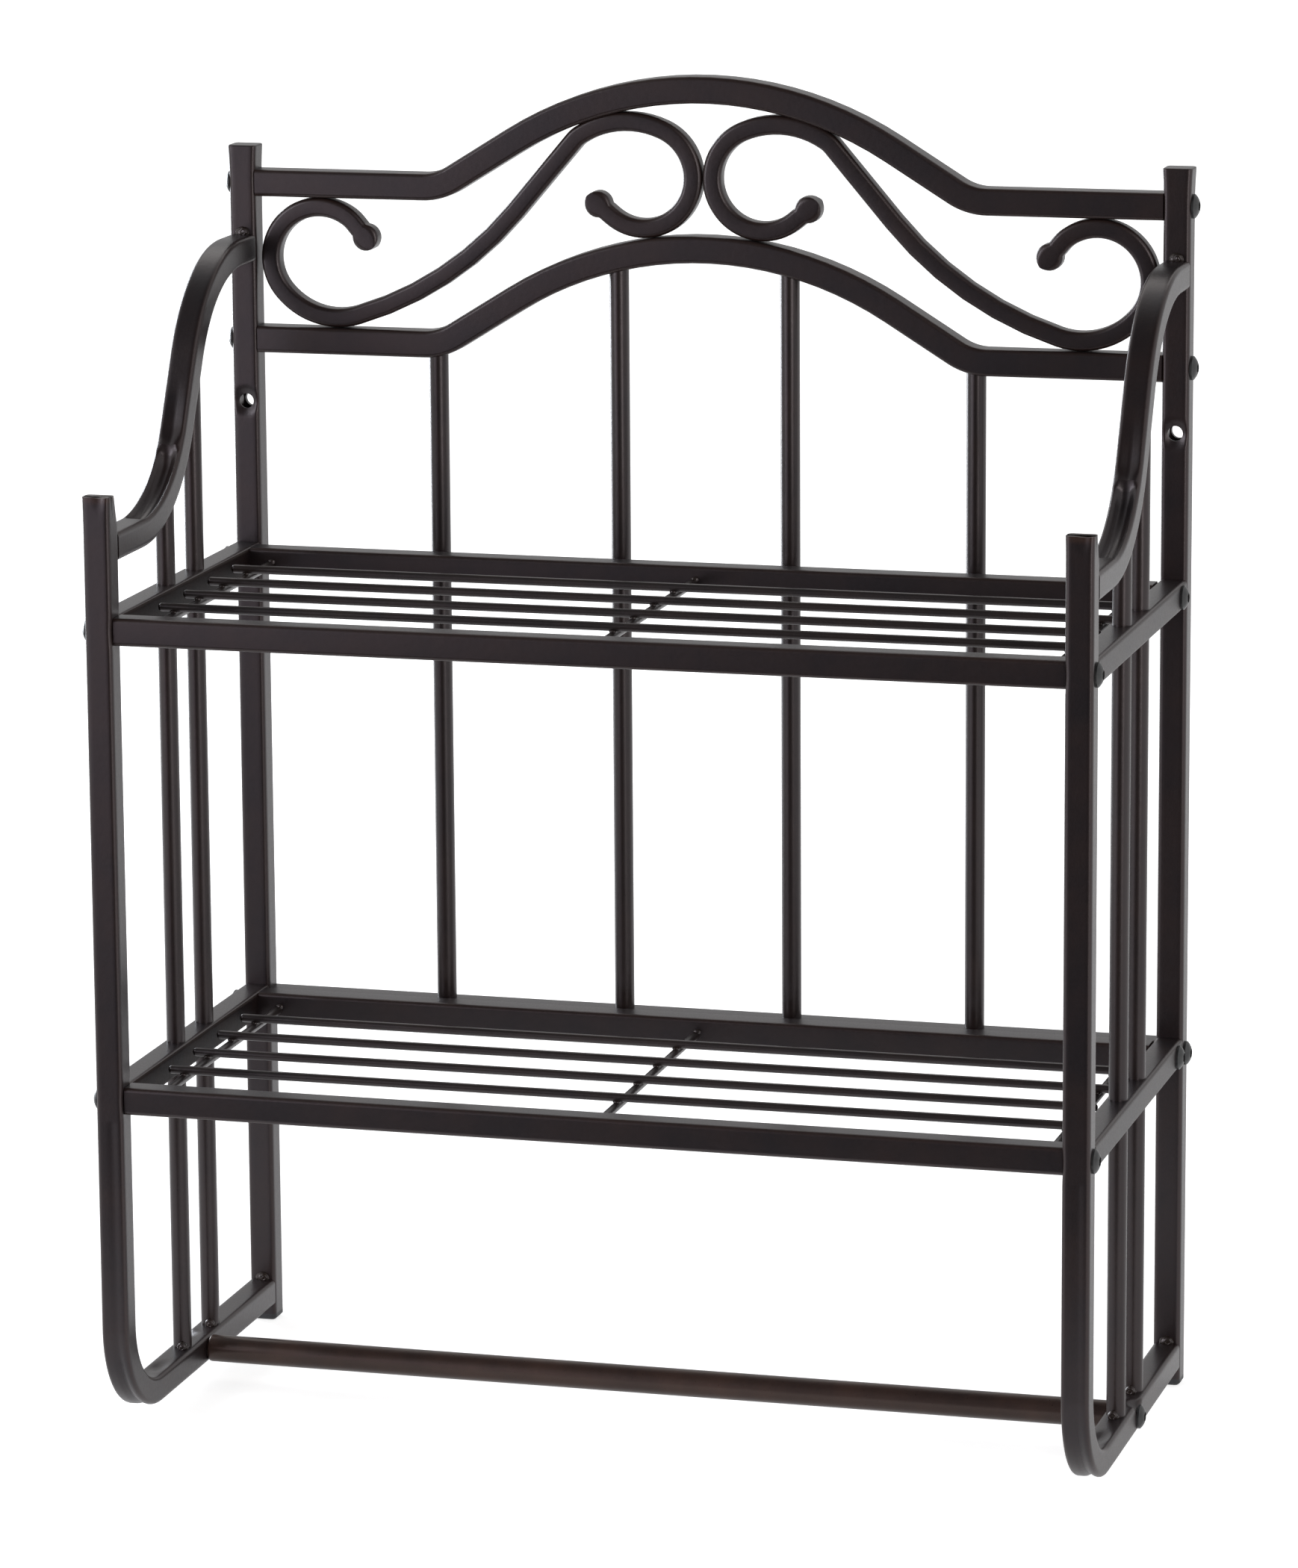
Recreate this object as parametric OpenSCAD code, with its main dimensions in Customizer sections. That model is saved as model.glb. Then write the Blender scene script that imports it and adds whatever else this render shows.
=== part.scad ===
// Wall shelf of bent square tube, with two wire shelves, a scrolled crest and a towel bar.
// Lengths are millimetres. +X is right, +Y goes back to the wall and +Z is up.
// Heights are given above the underside of the bottom rails. The finished part has its
// origin on the wall, midway between its two wall screws.

/* [Overall size] */
// Width over the posts
frame_w = 460; // [410:1:540]
// Depth from the wall to the front of the front posts
frame_d = 222; // [190:1:300]
// Height of the front posts' tops
front_post_top = 432; // [425:1:520]
// Height of the rear posts' tops
rear_post_top = 566; // [562:1:700]
// How far the rear posts reach below the bottom rails
rear_post_foot = 7.7; // [4:0.1:30]

/* [Tubes and rods] */
// Outer side of the square tube
tube = 12.7; // [11:0.1:14]
// Wall of the square and round tubes
tube_wall = 1.2; // [0.8:0.1:1.6]
// Radius of the square tube's outer corners
tube_corner = 2; // [1:0.1:3]
// Diameter of the rods in the side frames
side_rod_d = 8.7; // [5:0.1:9.5]
// Diameter of the rods in the back
back_rod_d = 9.2; // [5:0.1:10]
// Wall of the round rods, which are tube
rod_wall = 1; // [0.6:0.1:1.5]
// Gap between a rod and the hole that it passes through
rod_fit = 0.1; // [0.05:0.05:0.5]

/* [Side frames] */
// Centreline radius of the bend from front post to bottom rail
post_bend_r = 40; // [20:1:60]
// Height of the arm's centreline where it meets the front post
arm_front_z = 408; // [396:1:415]
// How much higher the arm starts at the rear post
arm_rise = 109.6; // [80:0.1:125]
// Straight length of the arm behind the front post
arm_front_run = 34.7; // [10:0.1:50]
// Straight length of the arm in front of the rear post
arm_rear_run = 17.8; // [8:0.1:30]
// Fullness of the arm's S-bend, from 0 for a ramp to 1 for arcs alone
arm_fullness = 0.69; // [0.4:0.01:0.85]
// Distance of the front side rod from the wall
front_rod_y = 130; // [110:1:150]
// Distance of the rear side rod from the wall
rear_rod_y = 90; // [60:1:100]
// Depth of the slope pressed into the back of each front post's top
press_depth = 4; // [1:0.1:6]
// Height of the pressed top
press_h = 14; // [6:1:15]

/* [Shelves] */
// Height of the lower shelf
lower_shelf_z = 160.5; // [120:0.5:200]
// Height of the upper shelf
upper_shelf_z = 377.1; // [300:0.1:380]
// Setback of a shelf's front rail behind the front of the posts
shelf_inset = 2.6; // [0:0.1:3]
// Gap between a shelf's rear rail and the back panel
shelf_back_gap = 4.35; // [1:0.05:10]
// Diameter of the shelf wires
wire_d = 4; // [3:0.1:4.8]
// Depth of the long wires' tops below the shelf's rails
wire_recess = 2; // [0.5:0.1:3]
// Distance from one long wire to the next, and from the rear rail to the first
long_wire_pitch = 34; // [25:0.5:38]
// Gap between a long wire's end and the side rail
long_wire_gap = 2.6; // [0.5:0.1:6]
// Distance of the outer cross wires from the side rails
cross_wire_inset = 10; // [6:0.5:20]

/* [Back panel] */
// Height of the lower crest rail's centre at its ends
lower_crest_z = 474.2; // [465:0.1:480]
// Height of the upper crest rail's centre at its ends
upper_crest_z = 548.3; // [542:0.1:552]
// Straight length at each end of the crest rails
crest_end_run = 82; // [70:0.1:100]
// Rise of the crest rails' arch
crest_rise = 48.3; // [40:0.1:58]
// Bend radius at the foot of the arch
crest_foot_r = 29; // [8:1:45]
// Fullness of the arch's S-bend, from 0 for a ramp to 1 for arcs alone
crest_fullness = 0.615; // [0.5:0.005:0.8]
// How much lower the panel's bottom rail is than the lower shelf
back_rail_drop = 2; // [0:0.1:6]
// Distance of the inner back rods from the middle
inner_rod_x = 41; // [25:0.5:60]
// Distance of the outer back rods from the middle
outer_rod_x = 129.5; // [100:0.5:150]

/* [Scrolls] */
// Side of the scrolls' square bar
scroll_bar = 9; // [6:0.1:9.6]
// Radius of the scroll bar's corners
scroll_corner = 1.6; // [0.5:0.1:2]
// Seam between a scroll and what it is welded to
weld_seam = 0.1; // [0.05:0.05:0.3]
// Gap between a scroll's outer loop and the rear post
scroll_post_gap = 1.9; // [1:0.1:8]
// Distance that the outer loop's foot stands inward of its top
scroll_lean = 7.9; // [4:0.1:12]
// How much tighter the outer loop's top is than a round loop between the rails
scroll_ease = 1.8; // [1:0.1:4]
// Centreline radius of the tighter end of the outer loop
scroll_curl_r = 16; // [9:0.1:18]
// Centreline radius of the inner loop
scroll_inner_r = 24; // [20:0.1:27]
// Centreline radius over the inner loop's top
scroll_crown_r = 42; // [38:0.5:60]
// Centreline radius of the shoulder beside the inner loop
scroll_shoulder_r = 13; // [10:0.1:22]
// Distance of the shoulder's centre from the middle
scroll_shoulder_x = 51.8; // [46:0.1:56]
// Slope of the scroll's straight middle
scroll_slope = 49.5; // [44:0.5:54]
// Diameter of the round end of each scroll
scroll_end_d = 11.4; // [9:0.1:13]
// Straight length from a loop to the middle of its round end
scroll_end_run = 8.6; // [4:0.1:9]

/* [Towel bar] */
// Diameter of the towel bar
towel_bar_d = 12.7; // [10:0.1:13]
// Distance of the towel bar from the wall
towel_bar_y = 109; // [104:1:115]

/* [Fasteners] */
// Diameter of the bolts' shanks
bolt_d = 6.2; // [4:0.1:6.3]
// Length of the bolts' shanks
bolt_len = 25.4; // [20:0.1:30]
// Gap round a bolt in a tube's hole
bolt_gap = 0.2; // [0.1:0.05:0.4]
// Gap round a bolt in its threaded plug
thread_gap = 0.1; // [0.05:0.05:0.2]
// Diameter of the bolts' heads
bolt_head_d = 11.1; // [10:0.1:12]
// Height of the bolts' heads
bolt_head_h = 3.3; // [2.6:0.1:4]
// Height of the straight edge below a bolt head's dome
bolt_rim_h = 1; // [0.6:0.1:1.4]
// Hexagon socket of a bolt, across its flats
bolt_socket = 4; // [3:0.1:4.5]
// Depth of a bolt's socket
bolt_socket_depth = 2; // [1.2:0.1:2.2]
// Length of the threaded plugs in the rails' ends
plug_len = 16; // [14:0.1:24]
// Gap round a plug in its tube
plug_fit = 0.05; // [0.05:0.05:0.3]
// Diameter of the wall screws' holes
screw_hole_d = 7; // [4:0.1:8]
// Height of the wall screws' holes
screw_z = 444.5; // [430:0.1:455]
// Thickness of the rear posts' foot caps
cap_h = 3; // [2:0.1:3.8]
// Length of the foot caps' stems
cap_stem = 8; // [5:0.1:12]
// Chamfer round a foot cap
cap_chamfer = 1; // [0.4:0.1:1.5]

/* [Hidden] */
$fn = 64;

left = -1;
right = 1;
both_sides = [left, right];
frame_colour = "#2e2a29";
bolt_colour = "#232021";
plug_colour = "#8d8f92";
cap_colour = "#1c1b1c";

// Places of the tubes
half_tube = tube / 2;
tube_bore = tube - 2 * tube_wall;
bore_corner = max(tube_corner - tube_wall, 0.2);
lap = 0.02;
swell = 0.01;
inner_x = frame_w / 2 - tube;
post_x = frame_w / 2 - half_tube;
front_post_y = -(frame_d - half_tube);
front_post_back = -(frame_d - tube);
rear_post_y = -half_tube;
front_rail_y = front_post_y + shelf_inset;
rear_rail_y = -(1.5 * tube + shelf_back_gap);
back_rail_z = lower_shelf_z - back_rail_drop - half_tube;

// The arm's S-bend, seen from the side
arm_low_y = front_post_back + arm_front_run;
arm_run = -tube - arm_rear_run - arm_low_y;
arm_slope = bend_slope(arm_run, arm_rise, arm_fullness);
arm_r = bend_radii(arm_run, arm_rise, arm_slope) / 2;

// The crest rails' S-bend, seen from the front
arch_run = inner_x - crest_end_run;
arch_slope = bend_slope(arch_run, crest_rise, crest_fullness);
arch_r = bend_radii(arch_run, crest_rise, arch_slope) - crest_foot_r;

// The scroll's loops, seen from the front, for the left scroll
half_bar = scroll_bar / 2;
touch = half_tube + half_bar + weld_seam;
upper_arch = [0, upper_crest_z + crest_rise - arch_r];
lower_arch = [0, lower_crest_z + crest_rise - arch_r];
round_loop_r = (upper_crest_z - lower_crest_z) / 2 - touch;
loop_top_r = round_loop_r - scroll_ease;
loop_foot_r = round_loop_r + scroll_lean * scroll_lean / (4 * scroll_ease);
loop_top = [loop_top_r + half_bar + scroll_post_gap - inner_x, upper_crest_z - touch - loop_top_r];
loop_foot = [loop_top[0] + scroll_lean, lower_crest_z + touch + loop_foot_r];
loop_join = (angle_of(loop_top - loop_foot) + 360) % 360;
curl_start = 55;
curl_end = 40;
curl = loop_top + (loop_top_r - scroll_curl_r) * dir(curl_start);
inner_loop_x = -(scroll_inner_r + half_bar + weld_seam);
inner_loop = [inner_loop_x, circle_height(lower_arch, arch_r + touch + scroll_inner_r, inner_loop_x)];
inner_loop_end = -129;
shoulder = [-scroll_shoulder_x,
            circle_height(upper_arch, arch_r - touch - scroll_shoulder_r, scroll_shoulder_x)];
crown = third_corner(shoulder, scroll_crown_r - scroll_shoulder_r,
                     inner_loop, scroll_crown_r - scroll_inner_r);
sweep_start = 17;
sweep_turn = cos(scroll_slope - sweep_start);
sweep_r = -(scroll_shoulder_r + (shoulder - loop_foot) * dir(scroll_slope + 90)
            + loop_foot_r * sweep_turn) / (1 - sweep_turn);
sweep = loop_foot + (sweep_r - loop_foot_r) * dir(sweep_start + 90);

// Unit vector at an angle in a plane
function dir(a) = [cos(a), sin(a)];

// Angle of a vector in a plane
function angle_of(v) = atan2(v[1], v[0]);

// Height of the upper half of a circle at x
function circle_height(centre, r, x) = centre[1] + sqrt(r * r - x * x);

// Lower corner of a triangle with base a to b and the other sides' lengths given
function third_corner(a, side_a, b, side_b) =
    let (base = norm(b - a))
    a + side_a * dir(angle_of(b - a)
                     - acos((base * base + side_a * side_a - side_b * side_b) / (2 * base * side_a)));

// Steepest slope of an S-bend with this run and rise
function bend_slope(run, rise, fullness) = (1 + fullness) * atan(rise / run);

// Sum of the two bend radii that gives an S-bend its run and rise
function bend_radii(run, rise, slope) = (run * tan(slope) - rise) / (1 / cos(slope) - 1);

// Height of an S-bend's centreline above its foot, at a distance from the foot
function bend_height(at, run, rise, foot_r, top_r, slope) =
    at <= 0 ? 0 :
    at < foot_r * sin(slope) ? foot_r - sqrt(foot_r * foot_r - at * at) :
    at < run - top_r * sin(slope) ? foot_r * (1 - cos(slope)) + (at - foot_r * sin(slope)) * tan(slope) :
    at < run ? rise - top_r + sqrt(top_r * top_r - (run - at) * (run - at)) :
    rise;

// Heights of the arm and of a crest rail above their lowest centreline
function arm_height(y) = bend_height(y - arm_low_y, arm_run, arm_rise, arm_r, arm_r, arm_slope);
function arch_height(x) =
    bend_height(arch_run - abs(x), arch_run, crest_rise, crest_foot_r, arch_r, arch_slope);

// A plane seen from the side, drawn as [y, z]
module side_plane(x) {
    translate([x, 0, 0]) rotate([90, 0, 90]) children();
}

// A plane seen from the front, drawn as [x, z]
module front_plane(y) {
    translate([0, y, 0]) rotate([90, 0, 0]) children();
}

// A section carried in a straight line, or round an arc, in one of those planes.
// Arcs lap their neighbours by a hair, and every other run is a hair fuller than
// the next, so that the runs of one path are one solid.
module straight_run(from, to) {
    translate([from[0], from[1], 0])
        rotate([0, 0, angle_of(to - from)])
            rotate([90, 0, 90]) linear_extrude(norm(to - from)) children();
}

module arc_run(centre, r, from, to, lap = lap) {
    turn = abs(to - from);
    over = lap / r * 180 / PI;
    translate([centre[0], centre[1], 0])
        rotate([0, 0, min(from, to) - over])
            rotate_extrude(angle = turn + 2 * over) translate([r, 0]) children();
}

// Tube carried along an S-bend that climbs to the right from its foot, up to its top arc
module bend_run(foot, run, rise, foot_r, top_r, slope, solid) {
    foot_centre = foot + [0, foot_r];
    top_centre = foot + [run, rise - top_r];
    arc_run(foot_centre, foot_r, -90, slope - 90) tube_section(swell, solid);
    straight_run(foot_centre + foot_r * dir(slope - 90), top_centre + top_r * dir(slope + 90))
        tube_section(0, solid);
}

module rounded_square(side, r) {
    square([side - 2 * r, side], center = true);
    square([side, side - 2 * r], center = true);
    for (a = both_sides, b = both_sides)
        translate([a, b] * (side / 2 - r)) circle(r);
}

// Section of the tube's wall, or the whole square that the tube fills
module tube_section(swell = 0, solid = false) {
    if (solid)
        square(tube + 2 * swell, center = true);
    else
        difference() {
            rounded_square(tube + 2 * swell, tube_corner);
            rounded_square(tube_bore - 2 * swell, bore_corner);
        }
}

// Carries a piece from heights above the bottom rails to the finished part's origin
module mounted(colour) {
    color(colour) translate([0, 0, -screw_z]) children();
}

// Hole for a bolt that passes through a post or a side rail
module bolt_hole(side, y, z) {
    translate([side * post_x, y, z]) rotate([0, 90, 0])
        cylinder(d = bolt_d + 2 * bolt_gap, h = 2 * tube, center = true);
}

// Places of the bolts of one shelf, as [y, z]; the front ones sit midway
// between the post's centre and the rail's
function shelf_bolt_places(shelf_z) = [
    [(front_post_y + front_rail_y) / 2, shelf_z - half_tube],
    [rear_rail_y, shelf_z - half_tube]
];
crest_bolt_places = [[rear_post_y, upper_crest_z], [rear_post_y, lower_crest_z]];
back_rail_bolt_place = [rear_post_y, back_rail_z];
towel_bolt_place = [-towel_bar_y, half_tube];

// Front post and bottom rail in one bent tube, with the post's top pressed shut
module front_post(side) {
    bend = [front_post_y, half_tube] + [1, 1] * post_bend_r;
    top = front_post_top - press_h;
    mounted(frame_colour) difference() {
        side_plane(side * post_x) {
            straight_run([front_post_y, bend[1]], [front_post_y, top]) tube_section();
            arc_run(bend, post_bend_r, 180, 270) tube_section(swell);
            straight_run([bend[0], half_tube], [-tube, half_tube]) tube_section();
            straight_run([front_post_y, top], [front_post_y, front_post_top])
                rounded_square(tube, tube_corner);
        }
        translate([side * post_x, front_post_back, top])
            rotate([atan(press_depth / press_h), 0, 0])
                translate([-tube, 0, 0]) cube([2 * tube, tube, 2 * press_h]);
        for (place = [shelf_bolt_places(upper_shelf_z)[0], shelf_bolt_places(lower_shelf_z)[0],
                      towel_bolt_place])
            bolt_hole(side, place[0], place[1]);
        for (rod_y = [front_rod_y, rear_rod_y])
            translate([side * post_x, -rod_y, half_tube])
                cylinder(d = side_rod_d + 2 * rod_fit, h = tube);
    }
}

// Rear post with its wall screw's hole; its top is closed by a wall
module rear_post(side) {
    mounted(frame_colour) difference() {
        side_plane(side * post_x) {
            straight_run([rear_post_y, cap_h - rear_post_foot], [rear_post_y, rear_post_top - tube_wall])
                tube_section();
            straight_run([rear_post_y, rear_post_top - tube_wall], [rear_post_y, rear_post_top])
                rounded_square(tube, tube_corner);
        }
        for (place = [each crest_bolt_places, back_rail_bolt_place])
            bolt_hole(side, place[0], place[1]);
        translate([side * post_x, rear_post_y, screw_z]) rotate([90, 0, 0])
            cylinder(d = screw_hole_d, h = 2 * tube, center = true);
    }
}

// Cap under a rear post, chamfered below, with a stem in the tube
module foot_cap(side) {
    outline = [[-half_tube, cap_h], [-half_tube, cap_chamfer], [cap_chamfer - half_tube, 0],
               [half_tube - cap_chamfer, 0], [half_tube, cap_chamfer], [half_tube, cap_h]];
    mounted(cap_colour) translate([side * post_x, rear_post_y, -rear_post_foot]) {
        intersection() {
            rotate([90, 0, 0]) linear_extrude(tube, center = true) polygon(outline);
            rotate([90, 0, 90]) linear_extrude(tube, center = true) polygon(outline);
            linear_extrude(cap_h) rounded_square(tube, tube_corner);
        }
        translate([0, 0, cap_h]) linear_extrude(cap_stem)
            rounded_square(tube_bore - 2 * plug_fit, bore_corner);
    }
}

// The arm's path, from the front post to the rear post
module arm_path(solid = false) {
    low = [arm_low_y, arm_front_z];
    high = low + [arm_run, arm_rise];
    straight_run([front_post_back, low[1]], low) tube_section(0, solid);
    bend_run(low, arm_run, arm_rise, arm_r, arm_r, arm_slope, solid);
    arc_run(high - [0, arm_r], arm_r, 90, 90 + arm_slope) tube_section(swell, solid);
    straight_run(high, [-tube, high[1]]) tube_section(0, solid);
}

module arm(side) {
    mounted(frame_colour) side_plane(side * post_x) arm_path();
}

// Side rail under a shelf's end, pierced by the side rods and the shelf's rear bolt
module side_rail(side, shelf_z) {
    rail_z = shelf_z - half_tube;
    rear_bolt = shelf_bolt_places(shelf_z)[1];
    mounted(frame_colour) difference() {
        side_plane(side * post_x)
            straight_run([front_post_back, rail_z], [-tube, rail_z]) tube_section();
        for (rod_y = [front_rod_y, rear_rod_y])
            translate([side * post_x, -rod_y, rail_z])
                cylinder(d = side_rod_d + 2 * rod_fit, h = 2 * tube, center = true);
        bolt_hole(side, rear_bolt[0], rear_bolt[1]);
    }
}

// Round tube that stands on its foot, with its bore open at both ends
module rod(d, h) {
    difference() {
        cylinder(d = d, h = h);
        translate([0, 0, -tube]) cylinder(d = d - 2 * rod_wall, h = h + 2 * tube);
    }
}

// Rod from the bottom rail's top wall, through both side rails, to the arm's underside
module side_rod(side, distance) {
    foot = tube - tube_wall;
    mounted(frame_colour) difference() {
        translate([side * post_x, -distance, foot])
            rod(side_rod_d, arm_front_z + arm_height(-distance) - foot);
        side_plane(side * post_x) arm_path(solid = true);
    }
}

// A crest rail's path, from one rear post to the other
module crest_path(z, solid = false) {
    module half_path() {
        straight_run([-inner_x, z], [-arch_run, z]) tube_section(0, solid);
        bend_run([-arch_run, z], arch_run, crest_rise, crest_foot_r, arch_r, arch_slope, solid);
    }
    half_path();
    mirror([1, 0, 0]) half_path();
    arc_run([0, z + crest_rise - arch_r], arch_r, 90 - arch_slope, 90 + arch_slope)
        tube_section(swell, solid);
}

module crest_rail(z) {
    mounted(frame_colour) front_plane(rear_post_y) crest_path(z);
}

// Rod from the bottom rail's top wall to the lower crest rail's underside
module back_rod(x) {
    foot = back_rail_z + half_tube - tube_wall;
    mounted(frame_colour) difference() {
        translate([x, rear_post_y, foot])
            rod(back_rod_d, lower_crest_z + arch_height(x) - foot);
        front_plane(rear_post_y) crest_path(lower_crest_z, solid = true);
    }
}

module back_bottom_rail() {
    mounted(frame_colour) difference() {
        front_plane(rear_post_y)
            straight_run([-inner_x, back_rail_z], [inner_x, back_rail_z]) tube_section();
        for (x = [inner_rod_x, outer_rod_x], side = both_sides)
            translate([side * x, rear_post_y, back_rail_z])
                cylinder(d = back_rod_d + 2 * rod_fit, h = tube);
    }
}

// Flattened round end of a scroll, drawn from its neck at the origin towards +X
module scroll_end() {
    linear_extrude(scroll_bar, center = true) {
        translate([scroll_end_run, 0]) circle(d = scroll_end_d);
        polygon([[0, -half_bar], [scroll_end_run, -scroll_end_d / 2],
                 [scroll_end_run, scroll_end_d / 2], [0, half_bar]]);
    }
}

// Left scroll: curl, outer loop, sweep, straight, shoulder, crown and inner loop in one bar
module left_scroll_bar() {
    crown_start = angle_of(shoulder - crown);
    crown_end = angle_of(inner_loop - crown);
    neck = curl + scroll_curl_r * dir(curl_end);
    tip = inner_loop + scroll_inner_r * dir(inner_loop_end);
    front_plane(rear_post_y) {
        arc_run(curl, scroll_curl_r, curl_end, curl_start) bar_section(swell);
        arc_run(loop_top, loop_top_r, curl_start, loop_join) bar_section();
        arc_run(loop_foot, loop_foot_r, loop_join, sweep_start + 270) bar_section(2 * swell);
        arc_run(sweep, sweep_r, sweep_start - 90, scroll_slope - 90) bar_section(swell);
        straight_run(sweep + sweep_r * dir(scroll_slope - 90),
                     shoulder + scroll_shoulder_r * dir(scroll_slope + 90)) bar_section();
        arc_run(shoulder, scroll_shoulder_r, scroll_slope + 90, crown_start) bar_section(swell);
        arc_run(crown, scroll_crown_r, crown_start, crown_end, lap = 0) bar_section();
        arc_run(inner_loop, scroll_inner_r, crown_end, inner_loop_end) bar_section(swell);
        translate([neck[0], neck[1], 0]) rotate([0, 0, curl_end - 90]) scroll_end();
        translate([tip[0], tip[1], 0]) rotate([0, 0, inner_loop_end - 90]) scroll_end();
    }
}

module bar_section(swell = 0) {
    rounded_square(scroll_bar + 2 * swell, scroll_corner);
}

module left_scroll() {
    mounted(frame_colour) left_scroll_bar();
}

module right_scroll() {
    mounted(frame_colour) mirror([1, 0, 0]) left_scroll_bar();
}

// Shelf rails between the posts, and between the side rails
module shelf_rail(y, shelf_z) {
    rail_z = shelf_z - half_tube;
    mounted(frame_colour) front_plane(y)
        straight_run([-inner_x, rail_z], [inner_x, rail_z]) tube_section();
}

// Cross wires 1 to 3 run from front rail to rear rail, from left to right
module cross_wire(shelf_z, place) {
    front = front_rail_y + half_tube;
    back = rear_rail_y - half_tube;
    x = (place - 2) * (inner_x - cross_wire_inset);
    mounted(frame_colour) translate([x, back, shelf_z - wire_recess - 1.5 * wire_d])
        rotate([90, 0, 0]) cylinder(d = wire_d, h = back - front);
}

// Long wires 1 to 4 lie on the cross wires, from back to front
module long_wire(shelf_z, place) {
    length = 2 * (inner_x - long_wire_gap);
    y = rear_rail_y - half_tube - place * long_wire_pitch;
    mounted(frame_colour) translate([0, y, shelf_z - wire_recess - wire_d / 2])
        rotate([0, 90, 0]) cylinder(d = wire_d, h = length, center = true);
}

module towel_bar() {
    mounted(frame_colour) translate([0, -towel_bar_y, half_tube]) rotate([0, 90, 0]) difference() {
        cylinder(d = towel_bar_d, h = 2 * inner_x, center = true);
        cylinder(d = towel_bar_d - 2 * tube_wall, h = 2 * inner_x + tube, center = true);
    }
}

// Button-head bolt with its head's seat at the origin and its shank going down
module bolt() {
    dome_h = bolt_head_h - bolt_rim_h;
    dome_r = (bolt_head_d * bolt_head_d / 4 + dome_h * dome_h) / (2 * dome_h);
    difference() {
        intersection() {
            cylinder(d = bolt_head_d, h = bolt_head_h + 1);
            translate([0, 0, bolt_head_h - dome_r]) sphere(dome_r);
        }
        translate([0, 0, bolt_head_h - bolt_socket_depth])
            cylinder(d = bolt_socket / cos(30), h = bolt_head_h, $fn = 6);
        translate([0, 0, -dome_r * 2]) cylinder(r = dome_r * 2, h = dome_r * 2);
    }
    translate([0, 0, -bolt_len]) cylinder(d = bolt_d, h = bolt_len);
}

// One bolt at each side for each place
module bolts(places) {
    mounted(bolt_colour)
        for (side = both_sides, place = places)
            translate([side * frame_w / 2, place[0], place[1]]) rotate([0, side * 90, 0]) bolt();
}

// One threaded plug in each end of the rail at rail_y, bored for its bolt
module rail_plugs(rail_y, place) {
    for (side = both_sides)
        translate([side * (inner_x - plug_len / 2), 0, place[1]]) rotate([0, 90, 0]) difference() {
            translate([0, rail_y, 0]) linear_extrude(plug_len, center = true)
                rounded_square(tube_bore - 2 * plug_fit, bore_corner);
            translate([0, place[0], 0]) bolt_bore();
        }
}

module bolt_bore() {
    cylinder(d = bolt_d + 2 * thread_gap, h = 2 * plug_len, center = true);
}

module shelf_plugs(shelf_z) {
    mounted(plug_colour) {
        rail_plugs(front_rail_y, shelf_bolt_places(shelf_z)[0]);
        rail_plugs(rear_rail_y, shelf_bolt_places(shelf_z)[1]);
    }
}

module crest_plugs() {
    mounted(plug_colour) for (place = crest_bolt_places) rail_plugs(rear_post_y, place);
}

module back_rail_plugs() {
    mounted(plug_colour) rail_plugs(rear_post_y, back_rail_bolt_place);
}

module towel_bar_plugs() {
    mounted(plug_colour) for (side = both_sides)
        translate([side * (inner_x - plug_len / 2), towel_bolt_place[0], towel_bolt_place[1]])
            rotate([0, 90, 0]) difference() {
                cylinder(d = towel_bar_d - 2 * tube_wall - 2 * plug_fit, h = plug_len, center = true);
                bolt_bore();
            }
}

front_post(left);  // left_front_post
front_post(right);  // right_front_post
rear_post(left);  // left_rear_post
rear_post(right);  // right_rear_post
foot_cap(left);  // left_foot_cap
foot_cap(right);  // right_foot_cap
arm(left);  // left_arm
arm(right);  // right_arm
side_rail(left, upper_shelf_z);  // left_upper_side_rail
side_rail(right, upper_shelf_z);  // right_upper_side_rail
side_rail(left, lower_shelf_z);  // left_lower_side_rail
side_rail(right, lower_shelf_z);  // right_lower_side_rail
side_rod(left, front_rod_y);  // left_front_side_rod
side_rod(left, rear_rod_y);  // left_rear_side_rod
side_rod(right, front_rod_y);  // right_front_side_rod
side_rod(right, rear_rod_y);  // right_rear_side_rod
crest_rail(upper_crest_z);  // upper_crest_rail
crest_rail(lower_crest_z);  // lower_crest_rail
left_scroll();
right_scroll();
back_rod(-outer_rod_x);  // back_rod_1
back_rod(-inner_rod_x);  // back_rod_2
back_rod(inner_rod_x);  // back_rod_3
back_rod(outer_rod_x);  // back_rod_4
back_bottom_rail();
shelf_rail(front_rail_y, upper_shelf_z);  // upper_shelf_front_rail
shelf_rail(rear_rail_y, upper_shelf_z);  // upper_shelf_rear_rail
cross_wire(upper_shelf_z, 1);  // upper_cross_wire_1
cross_wire(upper_shelf_z, 2);  // upper_cross_wire_2
cross_wire(upper_shelf_z, 3);  // upper_cross_wire_3
long_wire(upper_shelf_z, 1);  // upper_long_wire_1
long_wire(upper_shelf_z, 2);  // upper_long_wire_2
long_wire(upper_shelf_z, 3);  // upper_long_wire_3
long_wire(upper_shelf_z, 4);  // upper_long_wire_4
shelf_rail(front_rail_y, lower_shelf_z);  // lower_shelf_front_rail
shelf_rail(rear_rail_y, lower_shelf_z);  // lower_shelf_rear_rail
cross_wire(lower_shelf_z, 1);  // lower_cross_wire_1
cross_wire(lower_shelf_z, 2);  // lower_cross_wire_2
cross_wire(lower_shelf_z, 3);  // lower_cross_wire_3
long_wire(lower_shelf_z, 1);  // lower_long_wire_1
long_wire(lower_shelf_z, 2);  // lower_long_wire_2
long_wire(lower_shelf_z, 3);  // lower_long_wire_3
long_wire(lower_shelf_z, 4);  // lower_long_wire_4
towel_bar();
towel_bar_plugs();
bolts([towel_bolt_place]);  // towel_bar_bolts
shelf_plugs(upper_shelf_z);  // upper_shelf_plugs
bolts(shelf_bolt_places(upper_shelf_z));  // upper_shelf_bolts
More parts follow.
